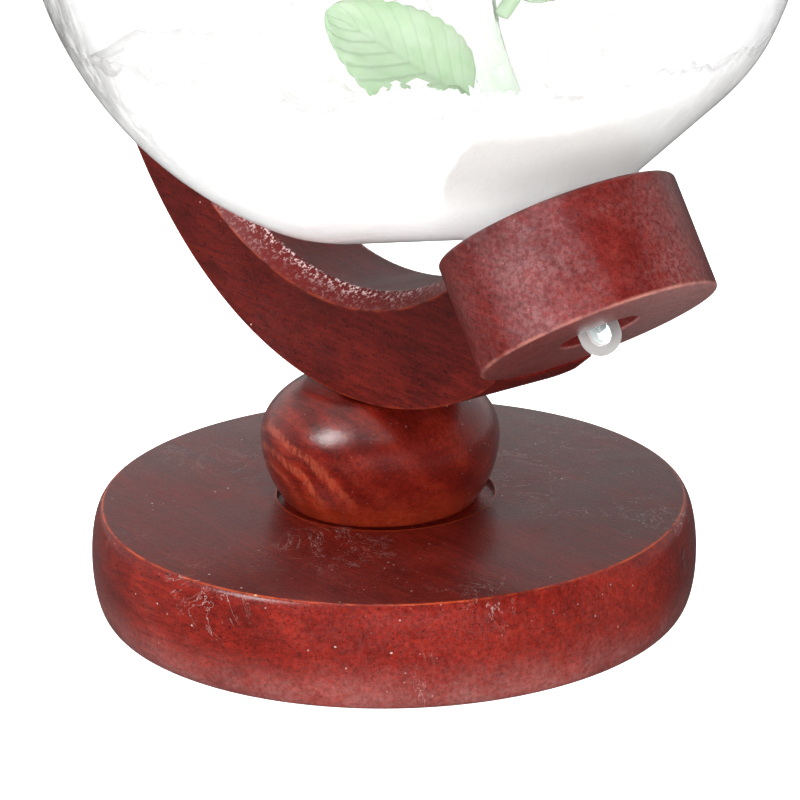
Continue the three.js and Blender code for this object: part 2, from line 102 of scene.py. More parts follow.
FLOWER_LEAN = math.radians(1)
LEAN_AZIMUTH = math.radians(238)
STEM_FOOT = -47.4
STEM_TOP = -11.6
SIDE_X, SIDE_Y = 0.596, 0.803  # the way to the right, seen from the camera
CUP_SIDE_X = 0.494  # the same in the tilted cup's own axes
PLACED = Matrix.Translation(GLOBE_CENTRE) @ Matrix.Rotation(-TILT, 4, "Y")
LEANED = (
    Matrix.Translation((0, 0, STEM_FOOT * MM))
    @ Matrix.Rotation(LEAN_AZIMUTH, 4, "Z")
    @ Matrix.Rotation(FLOWER_LEAN, 4, "Y")
    @ Matrix.Rotation(-LEAN_AZIMUTH, 4, "Z")
    @ Matrix.Translation((0, 0, -STEM_FOOT * MM))
)


# ---------- mesh helpers ----------
def smooth_below(bm, degrees):
    """Smooth shading, with the edges above an angle kept sharp."""
    for face in bm.faces:
        face.smooth = True
    for edge in bm.edges:
        if len(edge.link_faces) == 2:
            edge.smooth = edge.calc_face_angle(0) < math.radians(degrees)


def finish_mesh(name, bm, matrix=None, sharp=40, recalc=True):
    """Turns a bmesh into a smooth shaded object whose edges above an angle stay sharp."""
    if matrix is not None:
        bmesh.ops.transform(bm, matrix=matrix, verts=bm.verts)
    if recalc:
        bmesh.ops.recalc_face_normals(bm, faces=bm.faces)
    smooth_below(bm, sharp)
    data = bpy.data.meshes.new(name)
    bm.to_mesh(data)
    bm.free()
    piece = bpy.data.objects.new(name, data)
    bpy.context.scene.collection.objects.link(piece)
    return piece


def turned_bmesh(profile, segments, closed=False):
    """A body of revolution about Z from (radius, height) pairs in millimetres."""
    bm = bmesh.new()
    rings = []
    for radius, height in profile:
        if radius < 1e-6:
            rings.append([bm.verts.new((0, 0, height * MM))])
            continue
        ring = []
        for k in range(segments):
            angle = 2 * math.pi * k / segments
            x, y = radius * math.cos(angle), radius * math.sin(angle)
            ring.append(bm.verts.new((x * MM, y * MM, height * MM)))
        rings.append(ring)
    pairs = list(zip(rings, rings[1:]))
    if closed:
        pairs.append((rings[-1], rings[0]))
    for low, high in pairs:
        for k in range(segments):
            n = (k + 1) % segments
            if len(low) == 1:
                bm.faces.new((low[0], high[n], high[k]))
            elif len(high) == 1:
                bm.faces.new((low[k], low[n], high[0]))
            else:
                bm.faces.new((low[k], low[n], high[n], high[k]))
    return bm


def turned(name, profile, segments=160, matrix=None, closed=False, sharp=40):
    return finish_mesh(name, turned_bmesh(profile, segments, closed), matrix, sharp)


def tube_bmesh(rows):
    """Quads through rows of points in metres; each row closes on itself."""
    bm = bmesh.new()
    verts = [[bm.verts.new(point) for point in row] for row in rows]
    for near, far in zip(verts, verts[1:]):
        for j in range(len(near)):
            n = (j + 1) % len(near)
            bm.faces.new((near[j], near[n], far[n], far[j]))
    return bm


def apply_modifiers(piece):
    bpy.context.view_layer.update()
    graph = bpy.context.evaluated_depsgraph_get()
    data = bpy.data.meshes.new_from_object(piece.evaluated_get(graph))
    piece.modifiers.clear()
    piece.data = data


def cut(piece, *cutters):
    for cutter in cutters:
        modifier = piece.modifiers.new("cut", "BOOLEAN")
        modifier.operation = "DIFFERENCE"
        modifier.solver = "EXACT"
        modifier.object = cutter
    apply_modifiers(piece)
    for cutter in cutters:
        bpy.data.objects.remove(cutter)


def resmooth(piece, sharp):
    """Marks the sharp edges again after a boolean or a bevel."""
    bm = bmesh.new()
    bm.from_mesh(piece.data)
    smooth_below(bm, sharp)
    bm.to_mesh(piece.data)
    bm.free()


def steps(count):
    return [i / count for i in range(count + 1)]


# ---------- node helpers ----------
class Graph:
    """Short names for building the nodes of one material or world."""

    def __init__(self, name, kind="materials"):
        self.owner = getattr(bpy.data, kind).new(name)
        self.owner.use_nodes = True
        self.tree = self.owner.node_tree
        self.tree.nodes.clear()

    def add(self, kind, settings=None, **sockets):
        made = self.tree.nodes.new("ShaderNode" + kind)
        for key, value in (settings or {}).items():
            setattr(made, key, value)
        for key, value in sockets.items():
            numbered = key[0] == "i" and key[1:].isdigit()
            socket = made.inputs[int(key[1:]) if numbered else key.replace("_", " ")]
            if isinstance(value, bpy.types.NodeSocket):
                self.tree.links.new(value, socket)
            else:
                socket.default_value = value
        return made

    def math(self, operation, a, b=0.0):
        return self.add("Math", {"operation": operation}, i0=a, i1=b).outputs[0]

    def product(self, first, *others):
        for other in others:
            first = self.math("MULTIPLY", first, other)
        return first

    def parts(self):
        """x, y and z in millimetres."""
        return self.add("SeparateXYZ", None, Vector=self.place(scale=(1000, 1000, 1000))).outputs

    def noise(self, vector, scale, detail=3.0, roughness=0.55, distortion=0.0):
        sockets = {"Detail": detail, "Roughness": roughness, "Distortion": distortion}
        return self.add("TexNoise", None, Vector=vector, Scale=scale, **sockets).outputs["Fac"]

    def spread(self, value, low, high, to_low=0.0, to_high=1.0, smooth=True):
        """Maps low..high to a range, clamped."""
        settings = {"interpolation_type": "SMOOTHSTEP" if smooth else "LINEAR", "clamp": True}
        return self.add("MapRange", settings, i0=value, i1=low, i2=high, i3=to_low, i4=to_high).outputs[0]

    def mix(self, factor, a, b):
        made = self.add("Mix", {"data_type": "RGBA", "clamp_factor": True})
        for socket, value in ((made.inputs[0], factor), (made.inputs[6], a), (made.inputs[7], b)):
            if isinstance(value, bpy.types.NodeSocket):
                self.tree.links.new(value, socket)
            elif isinstance(value, (int, float)):
                socket.default_value = value
            else:
                socket.default_value = (*value, 1)
        return made.outputs[2]

    def ramp(self, value, *stops):
        made = self.add("ValToRGB", None, Fac=value)
        elements = made.color_ramp.elements
        for i, (place, colour) in enumerate(stops):
            element = elements[i] if i < 2 else elements.new(place)
            element.position = place
            element.color = (*colour, 1)
        return made.outputs[0]

    def place(self, scale=(1, 1, 1), turn=(0, 0, 0), shift=(0, 0, 0)):
        sockets = {"Location": shift, "Rotation": turn, "Scale": scale}
        where = self.add("TexCoord").outputs["Object"]
        return self.add("Mapping", {"vector_type": "POINT"}, Vector=where, **sockets).outputs[0]

    def bump(self, height, strength, distance, normal=None):
        sockets = {"Height": height, "Strength": strength, "Distance": distance}
        if normal is not None:
            sockets["Normal"] = normal
        return self.add("Bump", None, **sockets).outputs[0]

    def shader(self, **sockets):
        made = self.add("BsdfPrincipled", None, **sockets)
        self.add("OutputMaterial", None, Surface=made.outputs[0])
        return self.owner


def paint(piece, material, body):
    piece.data.materials.clear()
    piece.data.materials.append(material)
    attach(piece, body)
    return piece


# ---------- wood ----------
def wood(
    name, turn, tones, haze, wear_and_painted_light=None, figure=1.0, roughness=0.42, shift=(0, 0, 0), rings=None, coat=(0.3, 0.2)
):
    """Stained and lacquered wood. turn lays the grain along X, wear(graph, colour, mottle) gives the
    colour with its worn and dusty places and the shade, highlights and reflections painted on it, rings
    is (shift, scale, number) of the year rings, coat is (weight, roughness) of the lacquer."""
    g = Graph(name)
    dark, middle, light = tones
    grain = g.place(scale=(0.13, 1, 1), turn=turn, shift=shift)
    fine = g.place(scale=(0.25, 1, 1), turn=turn, shift=shift)
    still = g.place(shift=shift)
    cloud = g.noise(still, 85, 4, 0.62, 0.5)
    figured = g.noise(grain, 300 * figure, 5, 0.65, 0.8)
    both = g.math("ADD", g.product(cloud, 0.5), g.product(figured, 0.5))
    if rings is not None:
        wave = g.add(
            "TexWave",
            {"wave_type": "RINGS", "rings_direction": "SPHERICAL", "wave_profile": "SIN"},
            Vector=g.place(scale=rings[1], shift=rings[0]),
            Scale=rings[2],
            Distortion=3.5,
            Detail=3.0,
            Detail_Scale=1.6,
        ).outputs["Fac"]
        both = g.math("ADD", g.product(both, 0.86), g.product(wave, 0.13))
    colour = g.ramp(g.spread(both, 0.32, 0.68, smooth=False), (0.0, dark), (0.5, middle), (1.0, light))
    streak = g.noise(grain, 1700, 3, 0.7)
    colour = g.mix(g.spread(streak, 0.36, 0.6, 0.42, 0.0), colour, tuple(c * 0.4 for c in dark))
    speck = g.noise(still, 2900, 3, 0.75)
    colour = g.mix(g.spread(speck, 0.34, 0.5, 0.18, 0.0), colour, tuple(c * 0.35 for c in dark))
    colour = g.mix(g.spread(speck, 0.54, 0.74, 0.0, 0.22), colour, tuple(c * 1.6 + 0.01 for c in light))
    pores = g.noise(fine, 4600, 2, 0.5)
    colour = g.mix(g.spread(pores, 0.30, 0.40, 0.8, 0.0), colour, tuple(c * 0.15 for c in dark))
    mottle = g.spread(g.noise(still, 1500, 4, 0.75), 0.36, 0.66)
    bloom = g.spread(g.noise(still, 42, 4, 0.6, 0.4), 0.46, 0.76, 0.0, haze)
    colour = g.mix(g.product(bloom, mottle), colour, (0.40, 0.22, 0.22))
    # each piece's own worn and dusty places, and the shade and highlights painted on it
    if wear_and_painted_light is not None:
        colour = wear_and_painted_light(g, colour, mottle)
    # fine crumbs of dust lie close together in places, larger ones lie here and there
    crumbs = g.add("TexVoronoi", {"feature": "F1"}, Vector=still, Scale=1250, Randomness=1.0)
    lot = g.add("SeparateColor", None, Color=crumbs.outputs["Color"]).outputs[1]
    crumb = g.product(g.spread(crumbs.outputs["Distance"], 0.12, 0.2, 1.0, 0.0), g.spread(lot, 0.86, 0.9))
    dusty = g.spread(g.noise(still, 46, 3, 0.6), 0.45, 0.66, 0.08, 1.0)
    colour = g.mix(g.product(crumb, dusty, 0.55), colour, (0.55, 0.36, 0.34))
    squeezed = g.place(scale=(1, 0.8, 1.2), shift=shift)
    cells = g.add("TexVoronoi", {"feature": "F1"}, Vector=squeezed, Scale=620, Randomness=1.0)
    dot = g.spread(g.math("ADD", cells.outputs["Distance"], g.product(speck, 0.12)), 0.11, 0.17, 1.0, 0.0)
    rare = g.spread(g.add("SeparateColor", None, Color=cells.outputs["Color"]).outputs[0], 0.90, 0.93)
    patch = g.spread(g.noise(still, 60, 2, 0.5), 0.42, 0.62)
    colour = g.mix(g.product(dot, rare, patch, 0.8), colour, (0.72, 0.55, 0.5))
    height = g.math("ADD", g.product(pores, 0.5), g.product(streak, 0.5))
    normal = g.bump(height, 0.4, 0.00014)
    normal = g.bump(speck, 0.3, 0.00018, normal)
    coat_normal = g.bump(g.noise(still, 1300, 4, 0.7), 0.22, 0.0002)
    uneven = g.math("ADD", g.product(cloud, 0.5), g.product(speck, 0.5))
    rough = g.spread(uneven, 0.3, 0.7, roughness - 0.08, roughness + 0.14)
    return g.shader(
        Base_Color=colour,
        Roughness=rough,
        Normal=normal,
        Coat_Weight=coat[0],
        Coat_Roughness=coat[1],
        Coat_Normal=coat_normal,
        Specular_IOR_Level=0.2,
        IOR=1.45,
    )


def radius_about(g, centre, axes="xy"):
    """Distance in millimetres from an axis parallel to Z (xy) or to Y (xz), and the x, y and z."""
    parts = g.parts()
    second = parts[1] if axes == "xy" else parts[2]
    dx = g.math("SUBTRACT", parts[0], centre[0])
    dy = g.math("SUBTRACT", second, centre[1])
    return hypotenuse(g, dx, dy), parts


def hypotenuse(g, a, b):
    return g.math("SQRT", g.math("ADD", g.product(a, a), g.product(b, b)))


def weighed(g, a, a_weight, b, b_weight):
    return g.math("ADD", g.product(a, a_weight), g.product(b, b_weight))


def to_the_side(g, parts, x_share=SIDE_X):
    """How far round to the front right side of the object a place lies, in millimetres."""
    return weighed(g, parts[0], x_share, parts[1], SIDE_Y)


def patchy(g, mottle, least):
    """The mottle, raised so that it never falls below a least value."""
    return g.math("ADD", least, g.product(mottle, 1 - least))


def band(g, value, middle, half):
    """1 at a value, falling to 0 half a width away."""
    return g.spread(g.math("ABSOLUTE", g.math("SUBTRACT", value, middle)), 0.0, half, 1.0, 0.0)


ORANGE = (0.42, 0.055, 0.012)
BARE_WOOD = (0.75, 0.42, 0.24)
# pale dust and a painted reflection of the floor, low on the base's side
DUST_AND_FLOOR_REFLECTION = (0.36, 0.15, 0.14)


def base_wear_and_painted_light(g, colour, mottle):
    """Thin lacquer on the rim and the seat's lip, a few chips, pale scratches, a darker top face, and a pale film
    low on the side that is dust and a painted reflection of the floor.
    """
    radius, parts = radius_about(g, (0, 0))
    top = g.spread(parts[2], BASE_HEIGHT - 1.0, BASE_HEIGHT - 0.2)
    ragged = g.spread(g.noise(g.place(), 260, 4, 0.65), 0.38, 0.6, 0.1, 1.0)
    rim = g.product(band(g, radius, BASE_RIM + 0.25, 0.22), top, ragged)
    seat, _ = radius_about(g, (RECESS_X, 0))
    lip = g.spread(parts[2], BASE_HEIGHT - 0.7, BASE_HEIGHT - 0.1)
    ring = g.product(band(g, seat, RECESS_RADIUS + 0.2, 0.35), lip)
    colour = g.mix(g.math("MAXIMUM", rim, g.product(ring, 0.8)), colour, ORANGE)
    chips = g.spread(g.noise(g.place(), 330, 2, 0.5), 0.70, 0.73)
    colour = g.mix(g.product(chips, band(g, radius, BASE_RIM + 0.35, 0.5), top), colour, BARE_WOOD)
    # fine pale scratches where a warped noise crosses its middle value
    scribble = g.noise(g.place(shift=(0.4, 0, 0)), 75, 5, 0.7, 2.2)
    thread = band(g, scribble, 0.5, 0.007)
    where = g.spread(g.noise(g.place(shift=(0.1, 0.1, 0)), 55, 3, 0.5), 0.53, 0.62)
    colour = g.mix(g.product(thread, where, 0.65), colour, (0.55, 0.41, 0.39))
    # the top face inside the rim is made darker, half way to near black
    upper = g.spread(parts[2], BASE_HEIGHT - 1.0, BASE_HEIGHT - 0.4)
    face = g.product(g.spread(radius, BASE_RIM - 0.2, BASE_RIM + 0.3, 0.5, 0.0), upper)
    colour = g.mix(face, colour, (0.03, 0.003, 0.002))
    # a pale film low on the outer side: dust, and a painted reflection of the floor
    low = g.spread(parts[2], 0.6, BASE_HEIGHT * 0.55, 0.6, 0.0)
    cloudy = g.spread(g.noise(g.place(), 110, 4, 0.65), 0.3, 0.62, 0.35, 1.0)
    outer = g.spread(radius, BASE_RIM - 0.4, BASE_RIM + 0.4)
    return g.mix(g.product(low, outer, cloudy, patchy(g, mottle, 0.45)), colour, DUST_AND_FLOOR_REFLECTION)


def arm_wear_and_glints(g, colour, _):
    """Worn lines along the crescent's edges, and bright specks on its sanded slopes that are dust and painted
    glints.
    """
    outer, parts = radius_about(g, ARM_OUTER[:2], "xz")
    inner, _ = radius_about(g, ARM_INNER[:2], "xz")
    depth = g.math("ABSOLUTE", parts[1])
    near_face = g.spread(depth, ARM_HALF - 0.7, ARM_HALF - 0.15)
    ragged = g.spread(g.noise(g.place(), 240, 4, 0.6), 0.36, 0.62, 0.02, 0.5)
    slope_start = ARM_HALF - SLOPE_WIDTH
    slope_end = ARM_INNER[2] + SLOPE_DEPTH
    outer_line = g.product(band(g, outer, ARM_OUTER[2] - 0.1, 0.3), 0.4)
    inner_line = g.product(band(g, inner, slope_end, 0.3), 0.7)
    edges = g.math("MAXIMUM", outer_line, inner_line)
    inside = g.spread(inner, slope_end - 0.3, slope_end + 0.1, 1.0, 0.0)
    slope = g.product(g.spread(depth, slope_start - 0.5, slope_start + 0.3), inside)
    colour = g.mix(g.product(slope, 0.8), colour, (0.115, 0.004, 0.0025))
    # pale specks on the slopes: dust, and painted glints
    dust_and_glint = g.spread(g.noise(g.place(), 1500, 3, 0.8), 0.535, 0.585)
    upper = g.spread(depth, slope_start - 0.4, ARM_HALF - 0.7, 1.0, 0.1)
    clumps = g.spread(g.noise(g.place(), 150, 3, 0.6), 0.3, 0.62, 0.25, 1.0)
    colour = g.mix(g.product(slope, dust_and_glint, upper, clumps, 0.95), colour, (0.95, 0.76, 0.76))
    return g.mix(g.product(edges, near_face, ragged), colour, ORANGE)


CUP_HIGHLIGHT_HEADING = math.radians(-54)  # the heading round the cup's axis of the highlight painted on its side


def cup_wear_and_painted_sheen(g, colour, mottle):
    """A painted highlight on one side, a painted reflection below that is stronger to the right, and a pale worn
    line round the lower edge.
    """
    where = g.add(
        "Mapping",
        {"vector_type": "TEXTURE"},
        Vector=g.place(),
        Location=GLOBE_CENTRE,
        Rotation=(0, -TILT, 0),
        Scale=(MM, MM, MM),
    )
    parts = g.add("SeparateXYZ", None, Vector=where.outputs[0]).outputs
    radius = hypotenuse(g, parts[0], parts[1])
    ragged = g.spread(g.noise(g.place(), 260, 4, 0.6), 0.36, 0.6, 0.1, 0.85)
    edge = g.product(band(g, parts[2], -CUP_BOTTOM + 0.15, 0.45), band(g, radius, CUP_RADIUS - 0.15, 0.5))
    # painted highlight: a band round one side of the cup's wall
    turn = weighed(g, parts[0], math.cos(CUP_HIGHLIGHT_HEADING), parts[1], math.sin(CUP_HIGHLIGHT_HEADING))
    on_side = g.spread(radius, CUP_RADIUS - 0.5, CUP_RADIUS - 0.2)
    painted_highlight = g.product(g.spread(turn, 0.84 * CUP_RADIUS, CUP_RADIUS), on_side)
    patches = g.spread(g.noise(g.place(), 120, 4, 0.7), 0.3, 0.62, 0.2, 1.0)
    colour = g.mix(g.product(painted_highlight, patches, patchy(g, mottle, 0.35), 0.22), colour, (0.5, 0.32, 0.34))
    # painted reflection on the cup's underside, stronger towards the right
    across = to_the_side(g, parts, CUP_SIDE_X)
    bottom = g.spread(parts[2], -CUP_BOTTOM + 0.15, -CUP_BOTTOM + 0.4, 1.0, 0.0)
    painted_underside_reflection = g.product(bottom, g.spread(across, -10, 13, 0.2, 0.9), patchy(g, mottle, 0.5))
    colour = g.mix(painted_underside_reflection, colour, (0.34, 0.16, 0.15))
    return g.mix(g.product(edge, ragged, 0.6), colour, (0.5, 0.2, 0.15))


def bun_figure_and_painted_shade(g, colour, mottle):
    """Pale arched figure at one end of the grain, painted shade on the side away from the key light, and a warmer
    tone towards the foot.
    """
    at = g.place(scale=(1000, 1000, 1000))
    parts = g.add("SeparateXYZ", None, Vector=at).outputs
    flat = g.add("VectorMath", {"operation": "SUBTRACT"}, i0=at, i1=BUN_EYE).outputs[0]
    flat = g.add("VectorMath", {"operation": "MULTIPLY"}, i0=flat, i1=(0.8, 0.8, 1.25)).outputs[0]
    eye = g.add("VectorMath", {"operation": "LENGTH"}, i0=flat).outputs["Value"]
    wander = g.product(g.noise(g.place(), 95, 2, 0.5), 5.0)
    wave = g.math("SINE", g.product(g.math("ADD", eye, wander), 2.3))
    arches = g.product(
        g.spread(wave, -0.3, 0.9),
        g.spread(eye, 7.0, 13.5, 0.85, 0.0),
        g.spread(eye, 1.5, 4.5, 0.2, 1.0),
        g.spread(parts[2], 14.5, 19.5),
    )
    along_grain = g.place(scale=(1, 1, 0.3), turn=(0, 0.5, 0))
    fibres = g.spread(g.noise(along_grain, 1500, 3, 0.7), 0.38, 0.6, 0.1, 0.75)
    colour = g.mix(g.product(arches, fibres), colour, (0.36, 0.065, 0.032))
    # painted shade: the side away from the key light is made darker
    painted_shade_side = g.spread(parts[0], BUN_X + 4, BUN_X + 13, 0.0, 0.45)
    colour = g.mix(painted_shade_side, colour, (0.05, 0.004, 0.003))
    foot = g.spread(parts[2], BUN_FOOT, BUN_FOOT + 5.5, 0.55, 0.0)
    return g.mix(g.product(foot, patchy(g, mottle, 0.5)), colour, (0.3, 0.03, 0.008))


# dark, middle and light tone of each wood
DEEP = ((0.085, 0.0045, 0.0025), (0.17, 0.009, 0.0045), (0.27, 0.017, 0.008))
ARM_TONES = ((0.045, 0.0025, 0.0018), (0.09, 0.005, 0.003), (0.15, 0.01, 0.006))
CUP_TONES = ((0.07, 0.005, 0.004), (0.125, 0.010, 0.008), (0.19, 0.022, 0.017))
BUN_TONES = ((0.045, 0.0025, 0.0015), (0.14, 0.007, 0.003), (0.26, 0.022, 0.008))

base_wood = wood("mahogany_base", (0, 0, math.radians(25)), DEEP, 0.06, base_wear_and_painted_light, coat=(0.42, 0.13))
arm_grain = (0, math.radians(-20), 0)
arm_wood = wood("mahogany_arm", arm_grain, ARM_TONES, 0.06, arm_wear_and_glints, shift=(0.3, 0, 0), coat=(0.18, 0.3))
cup_wood = wood("mahogany_cup", (0, -TILT, math.radians(8)), CUP_TONES, 0.3, cup_wear_and_painted_sheen, shift=(0, 0.4, 0))
bun_wood = wood(
    "mahogany_bun",
    (math.radians(12), math.radians(35), math.radians(-40)),
    BUN_TONES,
    0.06,
    bun_figure_and_painted_shade,
    figure=0.5,
    roughness=0.34,
    shift=(0, 0, 0.2),
    rings=((0.012, 0.014, -0.024), (1.0, 1.0, 1.5), 75),
    coat=(0.75, 0.21),
)

# ---------- base, with the bun's shallow seat and the screw holes cut into it ----------
side = []
for t in steps(26):
    phi = t * math.pi
    side.append((BASE_RIM + (BASE_WIDEST - BASE_RIM) * math.sin(phi), BASE_HEIGHT * (1 - math.cos(phi)) / 2))
base = turned("base_turned", [(0, 0), *side, (0, BASE_HEIGHT)], 256)
floor_z, lip_z = BUN_FOOT - 0.3, BASE_HEIGHT + 1
seat_profile = [(0, floor_z), (RECESS_RADIUS, floor_z), (RECESS_RADIUS + 0.3, lip_z), (0, lip_z)]
seat_cutter = turned("seat_cutter", seat_profile, 160, Matrix.Translation((RECESS_X * MM, 0, 0)))
SCREW_HOLE = 2.05  # radius
HEAD_DEPTH = 1.7
SINK_DEPTH = 3.7  # where the countersink has narrowed to the hole
screw_cutters = []
for name in ("base_screw_1", "base_screw_2"):
    low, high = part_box(name)
    middle = (low + high) / 2
    head = (high.x - low.x) / 2 / MM + 0.3
    profile = [(0, -1), (head, -1), (head, HEAD_DEPTH), (SCREW_HOLE, SINK_DEPTH), (SCREW_HOLE, lip_z), (0, lip_z)]
    screw_place = Matrix.Translation((middle.x, middle.y, 0))
    screw_cutters.append(turned("screw_cutter_" + name[-1], profile, 48, screw_place))
cut(base, seat_cutter, *screw_cutters)
resmooth(base, 30)
paint(base, base_wood, "stand")
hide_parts("base_disc")

# ---------- bun ----------
bun_side = []
for t in steps(40):
    height = BUN_FOOT + t * (BUN_TOP - BUN_FOOT)
    away = height - BUN_WIDEST_Z
    half_height = BUN_LOWER_HALF_HEIGHT if away < 0 else BUN_UPPER_HALF_HEIGHT
    bun_side.append((BUN_RADIUS * math.sqrt(1 - (away / half_height) ** 2), height))
top_radius = bun_side[-1][0]
bun_profile = [(0, BUN_FOOT), *bun_side, (top_radius - 0.3, BUN_TOP), (0, BUN_TOP)]
bun = turned("bun_turned", bun_profile, 160, Matrix.Translation((BUN_X * MM, 0, 0)))
paint(bun, bun_wood, "stand")
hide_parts("bun_spacer")


# ---------- crescent arm ----------
def on_circle(circle, angle):
    return Vector((circle[0] + circle[2] * math.sin(angle), circle[1] - circle[2] * math.cos(angle)))


def near_cup(across, along):
    return Vector(
        (
            GLOBE_CENTRE.x / MM + across * math.cos(TILT) + along * math.sin(TILT),
            GLOBE_CENTRE.z / MM + across * math.sin(TILT) - along * math.cos(TILT),
        )
    )


CUP_ANGLE = math.radians(30.2)  # where the arm's outer edge meets the cup
TAIL_ANGLE = math.radians(-97)
INNER_END = math.radians(40)


def arm_outline(sanded):
    """The crescent's outline, with the inner edge sanded back by a distance."""
    inner = Vector(ARM_INNER[:2])
    reach = ARM_INNER[2] + sanded
    points = [on_circle(ARM_OUTER, CUP_ANGLE + t * (TAIL_ANGLE - CUP_ANGLE)) for t in steps(110)]
    tail = on_circle((*ARM_OUTER[:2], ARM_OUTER[2] - TAIL_WIDTH), TAIL_ANGLE)
    start = on_circle(ARM_INNER, TAPER_ANGLE)
    control = start + Vector((-math.cos(TAPER_ANGLE), -math.sin(TAPER_ANGLE))) * TAPER_LENGTH
    inside = [tail * (1 - t) ** 2 + control * 2 * t * (1 - t) + start * t * t for t in steps(50)]
    inside.extend(on_circle(ARM_INNER, TAPER_ANGLE + t * (INNER_END - TAPER_ANGLE)) for t in steps(90)[1:])
    for point in inside:
        away = point - inner
        points.append(inner + away * max(1, reach / away.length))
    points.append(near_cup(-11, CUP_BOTTOM))
    return points


bm = bmesh.new()
slices = []
for share in (0, 0.05, 0.2, 0.4, 0.6, 0.8, 0.92, 1, 1.12, 1.6):
    slices.append((-ARM_HALF + share * SLOPE_WIDTH, SLOPE_DEPTH * max(0, 1 - share) ** 1.15))
slices.extend([(-y, sanded) for y, sanded in reversed(slices)])
loops = []
for y, sanded in slices:
    loops.append([bm.verts.new((p.x * MM, y * MM, p.y * MM)) for p in arm_outline(sanded)])
bm.faces.new(loops[0])
bm.faces.new(loops[-1][::-1])
for near, far in zip(loops, loops[1:]):
    for i in range(len(near)):
        n = (i + 1) % len(near)
        bm.faces.new((near[n], near[i], far[i], far[n]))
arm = finish_mesh("arm_shaped", bm)
room_radius, room_low, room_high = CUP_RADIUS - 0.2, -CUP_BOTTOM - 15, -CUP_TOP + 10
room_profile = [(0, room_low), (room_radius, room_low), (room_radius, room_high), (0, room_high)]
cut(arm, turned("cup_room", room_profile, 160, PLACED))
bevel = arm.modifiers.new("bevel", "BEVEL")
bevel.width = 0.4 * MM
bevel.segments = 3
bevel.limit_method = "ANGLE"
bevel.angle_limit = math.radians(50)
apply_modifiers(arm)
resmooth(arm, 40)
weighted = arm.modifiers.new("weighted", "WEIGHTED_NORMAL")
weighted.keep_sharp = True
weighted.weight = 80
paint(arm, arm_wood, "stand")
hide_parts("crescent_arm")


# ---------- outline of the glass from the neck up ----------
def normal_at(angle):
    return Vector((math.sin(angle), -math.cos(angle)))


shoulder_centre = normal_at(SHOULDER_ANGLE) * (GLOBE_RADIUS - SHOULDER_RADIUS)
cone_start = shoulder_centre + normal_at(CONE_SLOPE) * SHOULDER_RADIUS
outside = cone_start + normal_at(CONE_SLOPE) * NECK_FILLET
travel = (outside.x - NECK_RADIUS - NECK_FILLET) / math.cos(CONE_SLOPE)
fillet_centre = outside - Vector((math.cos(CONE_SLOPE), math.sin(CONE_SLOPE))) * travel


def arc(centre, radius, start, end, count):
    points = []
    for t in steps(count):
        point = centre + normal_at(start + t * (end - start)) * radius
        points.append((max(point.x, 0), point.y))
    return points


def globe_outline(inset):
    return [
        *arc(fillet_centre, -(NECK_FILLET + inset), math.pi / 2, CONE_SLOPE, 10),
        *arc(shoulder_centre, SHOULDER_RADIUS - inset, CONE_SLOPE, SHOULDER_ANGLE, 8),
        *arc(Vector((0, 0)), GLOBE_RADIUS - inset, SHOULDER_ANGLE, math.pi, 72)[1:],
    ]


# ---------- cup ----------
def corner(x, z, towards_x, towards_z, size=0.5, count=4):
    """A small rounded corner in a turned profile, from the side towards_x to the side towards_z."""
    points = []
    for t in steps(count):
        angle = t * math.pi / 2
        back, up = size * (1 - math.sin(angle)), size * (1 - math.cos(angle))
        points.append((x + towards_x * back, z + towards_z * up))
    return points


seat_flare = [
    (radius, height)
    for radius, height in reversed(arc(fillet_centre, -(NECK_FILLET - 0.4), math.pi / 2, CONE_SLOPE, 20))
    if radius > CUP_HOLE + 0.2 and height < -CUP_TOP - 0.2
]
cup_profile = [
    (CUP_HOLE + 0.25, -CUP_BOTTOM),
    *corner(CUP_RADIUS, -CUP_BOTTOM, -1, 1, 0.45),
    *reversed(corner(CUP_RADIUS, -CUP_TOP, -1, -1, 0.6)),
    (SEAT_RADIUS, -CUP_TOP),
    *seat_flare,
    (CUP_HOLE, seat_flare[-1][1] - 1),
    (CUP_HOLE, -CUP_BOTTOM + 0.25),
]
cup = turned("cup_turned", cup_profile, 192, PLACED, closed=True, sharp=35)
paint(cup, cup_wood, "stand")
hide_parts("globe_cup")


# ---------- glass ----------
def glass(name, ior, tint=(1, 1, 1), painted_edge_shade=None, painted_glow=0.0, lowest=0.0):
    """Clear glass. limb is a painted dark shade where the glass is seen edge on, stronger on the left and high
    up; glow is painted light given off by the glass, strongest at the height lowest.
    """
    g = Graph(name)
    still = g.place()
    ripple = g.noise(still, 55, 2, 0.5)
    smear = g.spread(g.noise(still, 160, 4, 0.6), 0.45, 0.75, 0.0, 0.012)
    shade = g.mix(g.spread(g.noise(still, 90, 3, 0.6), 0.3, 0.7), tint, tuple(c * 0.985 for c in tint))
    # painted shade: a dark tint where the glass is seen edge on, stronger on the left and higher up
    if painted_edge_shade:
        grazing = g.add("LayerWeight", None, Blend=0.5).outputs["Facing"]
        parts = g.parts()
        left = g.spread(to_the_side(g, parts), -20, 30, 1.0, 0.35)
        streaks = g.spread(g.noise(g.place(scale=(1, 1, 0.25)), 300, 4, 0.7), 0.35, 0.6, 0.35, 1.0)
        high = g.spread(parts[2], 62, 84, 0.1, 1.0)
        shade = g.mix(g.product(g.spread(grazing, 0.5, 0.82), left, streaks, high), shade, painted_edge_shade)
    bright = {}
    # painted light: the glass gives off light, strongest at its lowest point
    if painted_glow:
        fade = g.spread(g.parts()[2], lowest + 1.2, lowest + 4.2)
        bright = {"Emission_Color": g.mix(fade, (1, 1, 0.98), (0.12, 0.13, 0.14)), "Emission_Strength": painted_glow}
    return g.shader(
        Base_Color=shade,
        Roughness=smear,
        Normal=g.bump(ripple, 0.05, 0.0004),
        Transmission_Weight=1.0,
        IOR=ior,
        **bright,
    )


